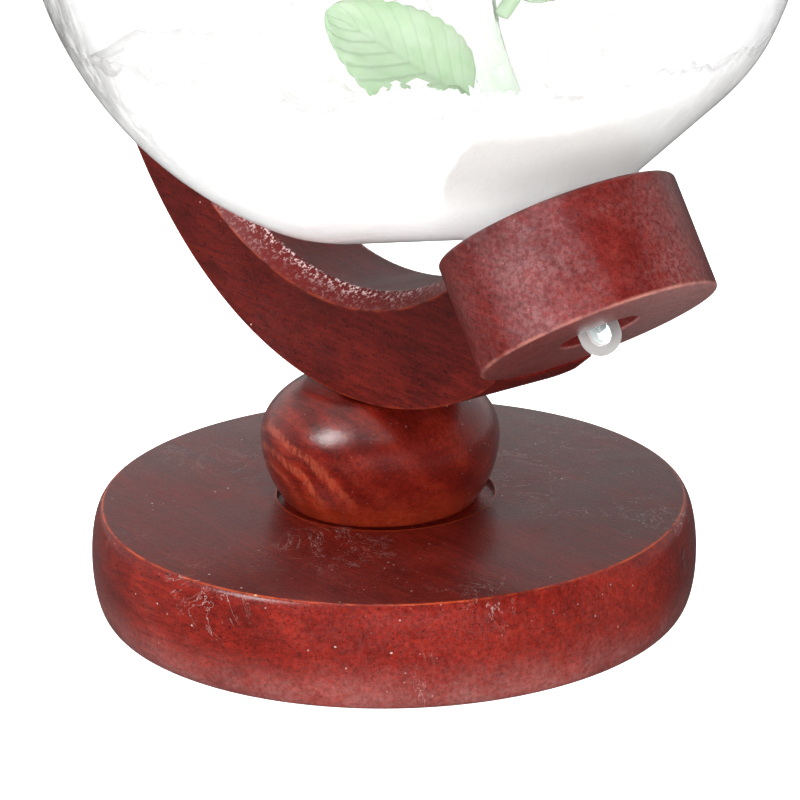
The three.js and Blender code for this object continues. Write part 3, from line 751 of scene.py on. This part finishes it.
GLASS_IOR = 1.5
LIQUID_IOR = 1.36
# Glass meets liquid in one surface, the glass's inner wall, so that wall has the ratio of the two
# and the liquid's own wall bends nothing.
# the outer glass carries the painted dark shade at its edges
clear_glass = glass("clear_glass", GLASS_IOR, painted_edge_shade=(0.07, 0.065, 0.055))
wet_glass = glass("wet_glass", GLASS_IOR / LIQUID_IOR)
liquid_look = glass("clear_liquid", LIQUID_IOR)
liquid_wall = glass("liquid_wall", 1.0)
shell = [
    *reversed(globe_outline(WALL)),
    (NECK_RADIUS - WALL, -NECK_END),
    (NECK_RADIUS, -NECK_END),
    *globe_outline(0),
]
globe = turned("globe_blown", shell, 224, PLACED)
paint(globe, clear_glass, "globe")
globe.data.materials.append(wet_glass)
for face in globe.data.polygons:
    reach = face.center - GLOBE_CENTRE
    inner_wall = reach.dot(face.normal) < 0 and reach.length < (GLOBE_RADIUS + 1) * MM
    if inner_wall and face.center.z < LIQUID_LEVEL * MM:
        face.material_index = 1
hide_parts("globe_glass")

tip_profile = []
for t in steps(12):
    angle = t * math.pi / 2
    tip_profile.append((TIP_RADIUS * math.sin(angle), -TIP_END + TIP_RADIUS * (1 - math.cos(angle))))
for t in steps(12)[1:]:
    ease = t * t * (3 - 2 * t)
    tip_profile.append((TIP_RADIUS + (NECK_RADIUS - TIP_RADIUS) * ease, -NECK_END - 5 + t * 4.7))
# the bore, from the neck's end down to the closed point
tip_profile.extend([(NECK_RADIUS - WALL, -NECK_END - 0.3), (NECK_RADIUS - WALL - 0.2, -NECK_END - 1.6)])
tip_profile.extend([(1.5, -NECK_END - 4.4), (1.1, -NECK_END - 5.6), (1.0, -TIP_END + 2.2)])
tip_profile.extend([(0.6, -TIP_END + 1.7), (0, -TIP_END + 1.55)])
tip = turned("tip_drawn", tip_profile, 64, PLACED, sharp=70)
TIP_LOW = min(v.co.z for v in tip.data.vertices) / MM
# the tip gives off painted light near its closed end
tip_glass = glass("tip_glass", 1.3, (0.62, 0.72, 0.72), painted_glow=0.3, lowest=TIP_LOW)
paint(tip, tip_glass, "seated_tip")
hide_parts("filling_tip")


# ---------- liquid: fills the globe up to a level surface ----------
def cut_level(bm, height):
    """Takes away what is above a height in millimetres and returns the edges of the opening."""
    found = bmesh.ops.bisect_plane(
        bm,
        geom=bm.verts[:] + bm.edges[:] + bm.faces[:],
        plane_co=(0, 0, height * MM),
        plane_no=(0, 0, 1),
        clear_outer=True,
    )
    return [item for item in found["geom_cut"] if isinstance(item, bmesh.types.BMEdge)]


def bowl_bmesh(inset, segments):
    """The room inside the glass, drawn in by a distance and closed across the neck."""
    outline = globe_outline(inset)[6:]
    bm = turned_bmesh([(0, outline[0][1]), *outline], segments)
    bmesh.ops.transform(bm, matrix=PLACED, verts=bm.verts)
    return bm


room = bowl_bmesh(WALL + LIQUID_GAP, 160)
bmesh.ops.contextual_create(room, geom=cut_level(room, LIQUID_LEVEL))
liquid = finish_mesh("liquid_fill", room, sharp=50)
paint(liquid, liquid_look, "globe")
liquid.data.materials.append(liquid_wall)
for face in liquid.data.polygons:
    if face.normal.z < 0.999:
        face.material_index = 1
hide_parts("storm_liquid")

# ---------- crystals ----------
CRYSTAL_ROOM = GLOBE_RADIUS - WALL - CRYSTAL_GAP


def heap_height(x, y):
    """The lumpy level of the heap in millimetres above CRYSTAL_LEVEL, from places in millimetres."""
    lumps = 1.3 * math.sin(0.31 * x + 0.7) * math.cos(0.27 * y - 0.4)
    small = 0.7 * math.sin(0.83 * x - 0.6 * y) + 0.5 * math.cos(0.71 * y + 0.5 * x + 1.1)
    piled = PILED_AT_GLASS * ((x * x + y * y) / GLOBE_RADIUS**2)
    rough = 1.5 * noise.fractal(Vector((x * 0.23, y * 0.23, 3.1)), 0.6, 2.2, 5)
    return 0.7 * (lumps + small) + piled + rough


heap = bowl_bmesh(WALL + CRYSTAL_GAP, 220)
rim = {v for e in cut_level(heap, CRYSTAL_LEVEL - 1.5) for v in e.verts}
middle_x = GLOBE_CENTRE.x
rim = sorted(rim, key=lambda v: math.atan2(v.co.y, v.co.x - middle_x))
for v in rim:
    x = (v.co.x - middle_x) / MM
    y = v.co.y / MM
    z = CRYSTAL_LEVEL * MM + heap_height(x, y) * MM
    drop = (z - GLOBE_CENTRE.z) / MM
    flat = math.sqrt(CRYSTAL_ROOM**2 - drop**2) * MM
    across = math.hypot(x, y) * MM
    v.co = Vector((middle_x + x * MM * flat / across, y * MM * flat / across, z))
rings = [rim]
RING_COUNT = 110
for i in range(1, RING_COUNT):
    inward = 1 - i / RING_COUNT
    ring = []
    for v in rim:
        x = (v.co.x - middle_x) * inward / MM
        y = v.co.y * inward / MM
        level = CRYSTAL_LEVEL + heap_height(x, y)
        ring.append(heap.verts.new((middle_x + x * MM, y * MM, level * MM)))
    rings.append(ring)
last = heap.verts.new((middle_x, 0, (CRYSTAL_LEVEL + heap_height(0, 0)) * MM))
for outer_ring, inner_ring in zip(rings, rings[1:]):
    for k in range(len(rim)):
        n = (k + 1) % len(rim)
        heap.faces.new((outer_ring[k], outer_ring[n], inner_ring[n], inner_ring[k]))
for k in range(len(rim)):
    heap.faces.new((rings[-1][k], rings[-1][(k + 1) % len(rim)], last))
crystals = finish_mesh("crystals_packed", heap, sharp=75)


def frost():
    """Packed white crystals that give off painted light, with painted grey shade low on the right where the light
    is blocked.
    """
    g = Graph("crystal_frost")
    still = g.place()
    grain = g.noise(still, 1300, 4, 0.7)
    clump = g.noise(still, 130, 4, 0.6, 0.3)
    colour = g.mix(g.spread(clump, 0.3, 0.7), (0.93, 0.93, 0.925), (0.985, 0.985, 0.98))
    colour = g.mix(g.spread(grain, 0.25, 0.45, 0.35, 0.0), colour, (0.8, 0.81, 0.81))
    parts = g.parts()
    along = to_the_side(g, parts)
    slant = g.product(g.math("MAXIMUM", g.math("SUBTRACT", parts[2], 71), 0), 0.6)
    wander = g.product(g.math("SUBTRACT", g.noise(still, 120, 3, 0.6), 0.5), 6)
    # painted shade: a grey band low on the right of the heap
    painted_crystal_shade = g.product(
        g.spread(g.math("ADD", g.math("SUBTRACT", along, slant), wander), 5.5, 7.5),
        g.spread(g.math("ADD", parts[2], g.product(wander, 0.7)), 75, 79, 1.0, 0.0),
        g.spread(parts[2], 61, 71, 0.0, 1.0),
        g.spread(along, 22, 42, 1.0, 0.3),
    )
    colour = g.mix(g.product(painted_crystal_shade, 0.9), colour, (0.5, 0.49, 0.475))
    return g.shader(
        Base_Color=colour,
        Roughness=g.spread(grain, 0.3, 0.7, 0.25, 0.6),
        Normal=g.bump(grain, 0.55, 0.0006),
        Subsurface_Weight=0.6,
        Subsurface_Radius=(1.0, 1.0, 1.0),
        Subsurface_Scale=0.004,
        # the crystals give off painted light, dimmer in the painted shade
        Emission_Color=g.mix(painted_crystal_shade, (1, 0.995, 0.985), (0.6, 0.59, 0.57)),
        Emission_Strength=0.35,
        IOR=1.45,
    )


crystal_look = frost()
paint(crystals, crystal_look, "globe")
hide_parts("crystal_bed")

# loose grains lying on the heap
randomness = random.Random(7)
OCTAHEDRON = [(1, 0, 0), (-1, 0, 0), (0, 1, 0), (0, -1, 0), (0, 0, 1), (0, 0, -1)]
OCTAHEDRON_FACES = [(0, 2, 4), (2, 1, 4), (1, 3, 4), (3, 0, 4), (2, 0, 5), (1, 2, 5), (3, 1, 5), (0, 3, 5)]
GRAIN_COUNT = 3600
GRAIN_REACH = 42.5  # radius of the heap that the grains are strewn over
grains = bmesh.new()
for _ in range(GRAIN_COUNT):
    angle = randomness.uniform(0, 2 * math.pi)
    reach = GRAIN_REACH * math.sqrt(randomness.random())
    x = reach * math.cos(angle)
    y = reach * math.sin(angle)
    level = CRYSTAL_LEVEL + heap_height(x, y) + randomness.uniform(-0.2, 0.5)
    size = randomness.uniform(0.22, 0.75)
    turn = Matrix.Rotation(randomness.uniform(0, math.pi), 4, "Z")
    turn = turn @ Matrix.Rotation(randomness.uniform(0, math.pi), 4, "X")
    shape = Vector((size * randomness.uniform(0.7, 1.8), size * 0.6, size * randomness.uniform(0.4, 0.9)))
    centre = Vector((GLOBE_CENTRE.x / MM + x, y, level))
    if (centre - GLOBE_CENTRE / MM).length > CRYSTAL_ROOM - 1.6:
        continue
    corners = [Vector((a * shape.x, b * shape.y, c * shape.z)) for a, b, c in OCTAHEDRON]
    made = [grains.verts.new((centre + turn @ point) * MM) for point in corners]
    for face in OCTAHEDRON_FACES:
        grains.faces.new([made[i] for i in face])
grain_piece = finish_mesh("crystals_loose", grains, sharp=30)
paint(grain_piece, crystal_look, "globe")


# ---------- flower ----------
def coloured_glass(name, pale, deep, transmission, roughness, attribute=None):
    """Pressed glass with a swirl of two tones; a mesh attribute can draw darker lines on it."""
    g = Graph(name)
    still = g.place()
    swirl = g.noise(still, 260, 3, 0.6, 0.6)
    colour = g.mix(g.spread(swirl, 0.3, 0.7), pale, deep)
    if attribute:
        line = g.add("Attribute", {"attribute_name": attribute}).outputs["Fac"]
        colour = g.mix(line, colour, tuple(c * 0.55 for c in deep))
    return g.shader(
        Base_Color=colour,
        Roughness=g.spread(swirl, 0.3, 0.7, roughness, roughness + 0.08),
        Normal=g.bump(g.noise(still, 700, 3, 0.6), 0.2, 0.0002),
        Transmission_Weight=transmission,
        IOR=1.2,
        Subsurface_Weight=0.3,
        Subsurface_Radius=(0.6, 1.0, 0.6),
        Subsurface_Scale=0.002,
    )


leaf_glass = coloured_glass("leaf_glass", (0.57, 0.70, 0.53), (0.47, 0.63, 0.425), 0.35, 0.12, "vein")
stem_glass = coloured_glass("stem_glass", (0.9, 0.97, 0.9), (0.8, 0.93, 0.8), 0.85, 0.04)
calyx_glass = coloured_glass("calyx_glass", (0.12, 0.42, 0.1), (0.06, 0.28, 0.06), 0.4, 0.1)
petal_glass = coloured_glass("petal_glass", (0.75, 0.02, 0.03), (0.5, 0.006, 0.012), 0.45, 0.07)

stem_profile = [(0, STEM_FOOT), (6.2, STEM_FOOT), (6.2, STEM_FOOT + 0.8)]
for t in steps(10)[1:]:
    stem_profile.append((1.9 + 4.3 * (1 - t) ** 2.4, STEM_FOOT + 0.8 + 2.6 * t))
stem_profile.extend([(1.8, -36), (1.8, -26), (1.9, -22), (2.15, -19), (2.7, -16.3), (3.25, -14)])
stem_profile.extend([(3.35, -12.6), (3.3, STEM_TOP), (0, STEM_TOP)])
stem = turned("stem_drawn", stem_profile, 56, PLACED @ LEANED, sharp=50)
paint(stem, stem_glass, "globe")
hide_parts("flower_stem")

# name, length, width, azimuth, rise and roll in degrees, height on the stem, the stem's radius there,
# length of the stalk, droop of the tip
LEAVES = [
    ("leaf_front", 16.2, 10.2, 262, 50, -116, -29.8, 1.9, 1.6, 1.0),
    ("leaf_upper", 13.0, 8.6, 48, 36, -60, -19.5, 2.7, 1.0, 1.4),
    ("leaf_lower", 12.0, 8.6, 158, 30, 20, -27.5, 1.9, 1.0, 1.0),
]


LEAF_COLUMNS = 48  # across one face
LEAF_ROWS = 97


def leaf_piece(name, length, width, azimuth, rise, roll, height, stem_radius, stalk, droop):
    """A blade as a closed sheet, down one face and back along the other, and its stalk."""
    rise = math.radians(rise)
    start = (stem_radius + 0.3 + 0.8) / math.cos(rise)
    place = (
        PLACED
        @ LEANED
        @ Matrix.Translation((0, 0, height * MM))
        @ Matrix.Rotation(math.radians(azimuth), 4, "Z")
        @ Matrix.Rotation(-rise, 4, "Y")
        @ Matrix.Translation(((start + stalk) * MM, 0, 0))
        @ Matrix.Rotation(math.radians(roll), 4, "X")
    )
    rows = []
    veins = []
    for i in range(LEAF_ROWS):
        u = i / (LEAF_ROWS - 1)
        along = 2 * u - 1
        half = width / 2 * math.sqrt(max(1 - along * along, 0)) * (1 - 0.28 * along)
        half = max(half, 0.35 * (1 - u) + 0.02)
        teeth = 1 + 0.05 * abs(math.sin(u * math.pi * 11)) - 0.03
        row = []
        vein_row = []
        for j in range(2 * LEAF_COLUMNS):
            lower = j >= LEAF_COLUMNS
            v = 1 - 2 * (j % LEAF_COLUMNS) / (LEAF_COLUMNS - 1)
            v = -v if lower else v
            slant = u - 0.34 * abs(v)
            side = 1 - min(1, abs(((slant * 8.5) % 1) - 0.5) / 0.1)
            side = max(0, side) * (0.08 < u < 0.96) * (abs(v) < 0.93)
            midrib = max(0, 1 - abs(v) / 0.07) * (u < 0.95)
            line = max(side * (0.8 if v > 0 else 0.3), midrib * 0.25)
            thick = 0.62 * math.sqrt(max(1 - v**4, 0)) * (1 - 0.3 * u)
            thick = max(thick - 0.13 * line + 0.05 * math.cos(9 * v), 0.0)
            fold = 0.9 * abs(v) ** 1.5 * (1 - u * 0.5)
            z = (-thick if lower else thick) - droop * u * u + fold - 0.45
            row.append(place @ Vector((u * length * MM, half * teeth * v * MM, z * MM)))
            vein_row.append(line)
        rows.append(row)
        veins.extend(vein_row)
    bm = tube_bmesh(rows)
    bm.verts.ensure_lookup_table()
    layer = bm.verts.layers.float.new("vein")
    for vert, value in zip(bm.verts, veins):
        vert[layer] = value
    bm.faces.new(bm.verts[: 2 * LEAF_COLUMNS])
    bm.faces.new(bm.verts[-2 * LEAF_COLUMNS :][::-1])
    bmesh.ops.remove_doubles(bm, verts=bm.verts, dist=1e-6)
    blade = finish_mesh(name + "_blade", bm, sharp=70)
    paint(blade, leaf_glass, "globe")
    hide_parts(name)
    stalk_profile = [(0, -1.5), (0.75, -1.3), (0.8, 0.6)]
    stalk_profile.extend([(0.7, stalk + 1.4), (0.3, stalk + 2.2), (0, stalk + 2.3)])
    stalk_place = place @ Matrix.Translation((-stalk * MM, 0, 0)) @ Matrix.Rotation(math.pi / 2, 4, "Y")
    twig = turned(name + "_stalk", stalk_profile, 24, stalk_place)
    paint(twig, leaf_glass, "globe")


for leaf in LEAVES:
    leaf_piece(*leaf)

calyx_profile = [(0, STEM_TOP + 0.3), (3.4, STEM_TOP + 0.3), (4.4, -9.9), (5.6, -7.6), (6.3, -6.0)]
calyx_profile.extend([(6.6, -5.2), (6.3, -4.95), (5.9, -5.1), (5.2, -6.4), (4.4, -7.4)])
calyx_profile.extend([(2.6, -8.9), (0, -9.2)])
calyx = turned("calyx_pressed", calyx_profile, 80, PLACED @ LEANED, sharp=60)
paint(calyx, calyx_glass, "globe")
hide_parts("flower_calyx")

bud_profile = [(0, -8.8)]
for t in steps(24)[1:-1]:
    bud_profile.append((3.35 * math.sin(math.pi * t) ** 0.55 * (1 - 0.25 * t), -8.8 + 17.0 * t))
bud_profile.append((0, 8.2))
bud = turned("bud_wrapped", bud_profile, 64, PLACED @ LEANED, sharp=60)
paint(bud, petal_glass, "globe")
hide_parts("rose_bud")

# name, count, turn, half angle in degrees, foot radius, lip radius, curve, spiral, thickness,
# foot height, height
PETAL_RINGS = [
    ("petal_inner", 3, 0.4, 74, 4.6, 6.2, 1.2, 0.75, 0.8, -6.6, 14.4),
    ("petal_outer", 5, 0.1, 46, 7.6, 12.6, 1.7, 1.0, 0.9, -4.9, 12.6),
]


def petal_piece(ring, index):
    """A cupped petal: a squashed ball wrapped round the bud, its lip flared and rippled."""
    label, count, turn, half_angle, foot_radius, lip_radius, curve, spiral, thickness, foot_z, height = ring
    middle = turn + index * 2 * math.pi / count
    half_angle = math.radians(half_angle)
    bm = bmesh.new()
    bmesh.ops.create_uvsphere(bm, u_segments=64, v_segments=26, radius=1)
    for vert in bm.verts:
        across, b, c = vert.co
        up = (b + 1) / 2
        flare = foot_radius + (lip_radius - foot_radius) * up**curve
        ripple = 0.35 * up**3 * math.cos(4 * across)
        vein = 0.05 * math.cos(22 * across) * up * (1 - abs(across))
        radius = flare + spiral * across + ripple + c * thickness / 2 + vein
        azimuth = middle + across * half_angle * (0.62 + 0.38 * up)
        vert.co = Vector((radius * math.cos(azimuth), radius * math.sin(azimuth), foot_z + up * height)) * MM
    petal = finish_mesh(f"{label}_{index + 1}_pressed", bm, PLACED @ LEANED, sharp=70)
    paint(petal, petal_glass, "globe")
    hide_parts(f"{label}_{index + 1}")


for ring in PETAL_RINGS:
    for index in range(ring[1]):
        petal_piece(ring, index)


# ---------- hidden hardware keeps its CAD shape ----------
def steel():
    g = Graph("screw_steel")
    turned_marks = g.noise(g.place(scale=(1, 1, 14)), 900, 3, 0.6)
    spot = g.noise(g.place(), 420, 4, 0.65)
    colour = g.mix(g.spread(spot, 0.4, 0.7), (0.62, 0.61, 0.58), (0.38, 0.34, 0.28))
    return g.shader(
        Base_Color=colour,
        Metallic=1.0,
        Roughness=g.spread(spot, 0.3, 0.7, 0.28, 0.5),
        Normal=g.bump(turned_marks, 0.2, 0.0001),
    )


screw_look = steel()
BEECH = ((0.42, 0.26, 0.14), (0.55, 0.36, 0.2), (0.66, 0.46, 0.28))
dowel_look = wood("dowel_beech", (0, -TILT, 0), BEECH, 0.05)
for node, look, slot in (
    ("base_screw_1", screw_look, "screw_steel"),
    ("base_screw_2", screw_look, "screw_steel"),
    ("cup_dowel", dowel_look, "dowel_wood"),
):
    for material_slot in NODES[node].material_slots:
        material_slot.material = look

# ---------- floor, light and camera ----------
HEADING = math.radians(53.43)  # the camera's heading round the object
ELEVATION = math.radians(22.04)
DISTANCE = 0.5376


def around(side, forward, up):
    """A direction given from the camera's point of view: to the right, away, up."""
    cosine, sine = math.cos(HEADING), math.sin(HEADING)
    return Vector((cosine * side - sine * forward, sine * side + cosine * forward, up))


camera_data = bpy.data.cameras.new("camera")
camera_data.lens = 179.05
camera_data.sensor_width = 36
camera_data.clip_start = 0.01
camera = bpy.data.objects.new("camera", camera_data)
bpy.context.scene.collection.objects.link(camera)
PITCH, YAW, ROLL = 0.336210, -0.002278, 0.017870
cos_pitch, sin_pitch = math.cos(PITCH), math.sin(PITCH)
cos_yaw, sin_yaw = math.cos(YAW), math.sin(YAW)
cos_roll, sin_roll = math.cos(ROLL), math.sin(ROLL)
pitching = np.array([[1, 0, 0], [0, cos_pitch, sin_pitch], [0, -sin_pitch, cos_pitch]])
yawing = np.array([[cos_yaw, -sin_yaw, 0], [sin_yaw, cos_yaw, 0], [0, 0, 1]])
rolling = np.array([[cos_roll, 0, sin_roll], [0, 1, 0], [-sin_roll, 0, cos_roll]])
axes = yawing @ pitching @ rolling
right, forward, upward = (around(*axes[:, i]) for i in range(3))
turn = Matrix((right, upward, -forward)).transposed()
place = Vector(
    (
        math.sin(HEADING) * DISTANCE * math.cos(ELEVATION),
        -math.cos(HEADING) * DISTANCE * math.cos(ELEVATION),
        DISTANCE * math.sin(ELEVATION),
    )
)
camera.matrix_world = Matrix.Translation(place) @ turn.to_4x4()
bpy.context.scene.camera = camera

FLOOR_HALF = 1.6
bm = bmesh.new()
bmesh.ops.create_grid(bm, x_segments=8, y_segments=8, size=FLOOR_HALF)
floor = finish_mesh("floor", bm, recalc=False)
g = Graph("floor_paper")
fibre = g.noise(g.place(), 900, 4, 0.6)
pale = g.add(
    "BsdfPrincipled",
    None,
    Base_Color=g.mix(fibre, (0.93, 0.93, 0.93), (0.95, 0.95, 0.95)),
    Roughness=0.9,
    Specular_IOR_Level=0.1,
    Emission_Color=(1, 1, 1, 1),
    Emission_Strength=1.1,
)
# the wood is lit and mirrored by paper that is darker than it looks, as by a studio's dim surroundings
rays = g.add("LightPath").outputs
shade = g.mix(rays["Is Diffuse Ray"], (0.16, 0.16, 0.16), (0.5, 0.5, 0.5))
shaded = g.add("BsdfDiffuse", None, Color=shade)
outside = g.math("LESS_THAN", rays["Transmission Depth"], 0.5)
bounced = g.math("MAXIMUM", rays["Is Diffuse Ray"], g.product(rays["Is Glossy Ray"], outside))
either = g.add("MixShader", None, i0=bounced, i1=pale.outputs[0], i2=shaded.outputs[0])
g.add("OutputMaterial", None, Surface=either.outputs[0])
floor.data.materials.append(g.owner)


def softbox(name, direction, distance, size, power):
    """A rectangular lamp at a distance in a direction, turned to the middle of the object."""
    data = bpy.data.lights.new(name, "AREA")
    data.shape = "RECTANGLE"
    data.size, data.size_y = size
    data.energy = power
    lamp = bpy.data.objects.new(name, data)
    bpy.context.scene.collection.objects.link(lamp)
    aim = Vector((0, 0, 0.06))
    lamp.location = aim + direction.normalized() * distance
    lamp.rotation_mode = "QUATERNION"
    lamp.rotation_quaternion = direction.to_track_quat("Z", "Y")
    return lamp


softbox("key_left", around(-0.66, -0.28, 0.70), 0.75, (0.24, 0.30), 3.9)
fill = softbox("front_fill", around(0.05, -0.98, 0.20), 0.9, (0.8, 0.4), 14.8)
fill.visible_glossy = False

g = Graph("studio", "worlds")
bpy.context.scene.world = g.owner
facing = g.add("TexCoord").outputs["Generated"]
straight = around(0, 1, -0.12).normalized()
ahead = g.add("VectorMath", {"operation": "DOT_PRODUCT"}, i0=facing, i1=straight).outputs["Value"]


def sky(low, high, dim, bright):
    """A white surround, bright straight ahead and dim elsewhere; low and high are the cosines of the
    angles from straight ahead where the fade ends and starts."""
    shown = g.add("Background", None, i0=(1, 1, 1, 1), i1=g.spread(ahead, low, high, dim, bright))
    return shown.outputs[0]


def either_sky(factor, first, second):
    """The first surround where the factor is 0, the second where it is 1."""
    return g.add("MixShader", None, i0=factor, i1=first, i2=second).outputs[0]


# one surround lights the object, another is seen through the glass, and plain white stands behind
rays = g.add("LightPath").outputs
through = g.math("GREATER_THAN", rays["Transmission Depth"], 0.5)
settings = {"operation": "SUBTRACT", "use_clamp": True}
seen = g.add("Math", settings, i0=through, i1=rays["Is Diffuse Ray"]).outputs[0]
lit = either_sky(seen, sky(-0.35, 0.55, 0.05, 0.62), sky(0.1, 0.45, 0.45, 1.5))
backdrop = either_sky(rays["Is Camera Ray"], lit, sky(-3, -2, 1.05, 1.05))
g.add("OutputWorld", None, Surface=backdrop)
bpy.context.scene.view_settings.view_transform = "Standard"
bpy.context.scene.cycles.max_bounces = 24
bpy.context.scene.cycles.transmission_bounces = 20
bpy.context.scene.cycles.transparent_max_bounces = 16
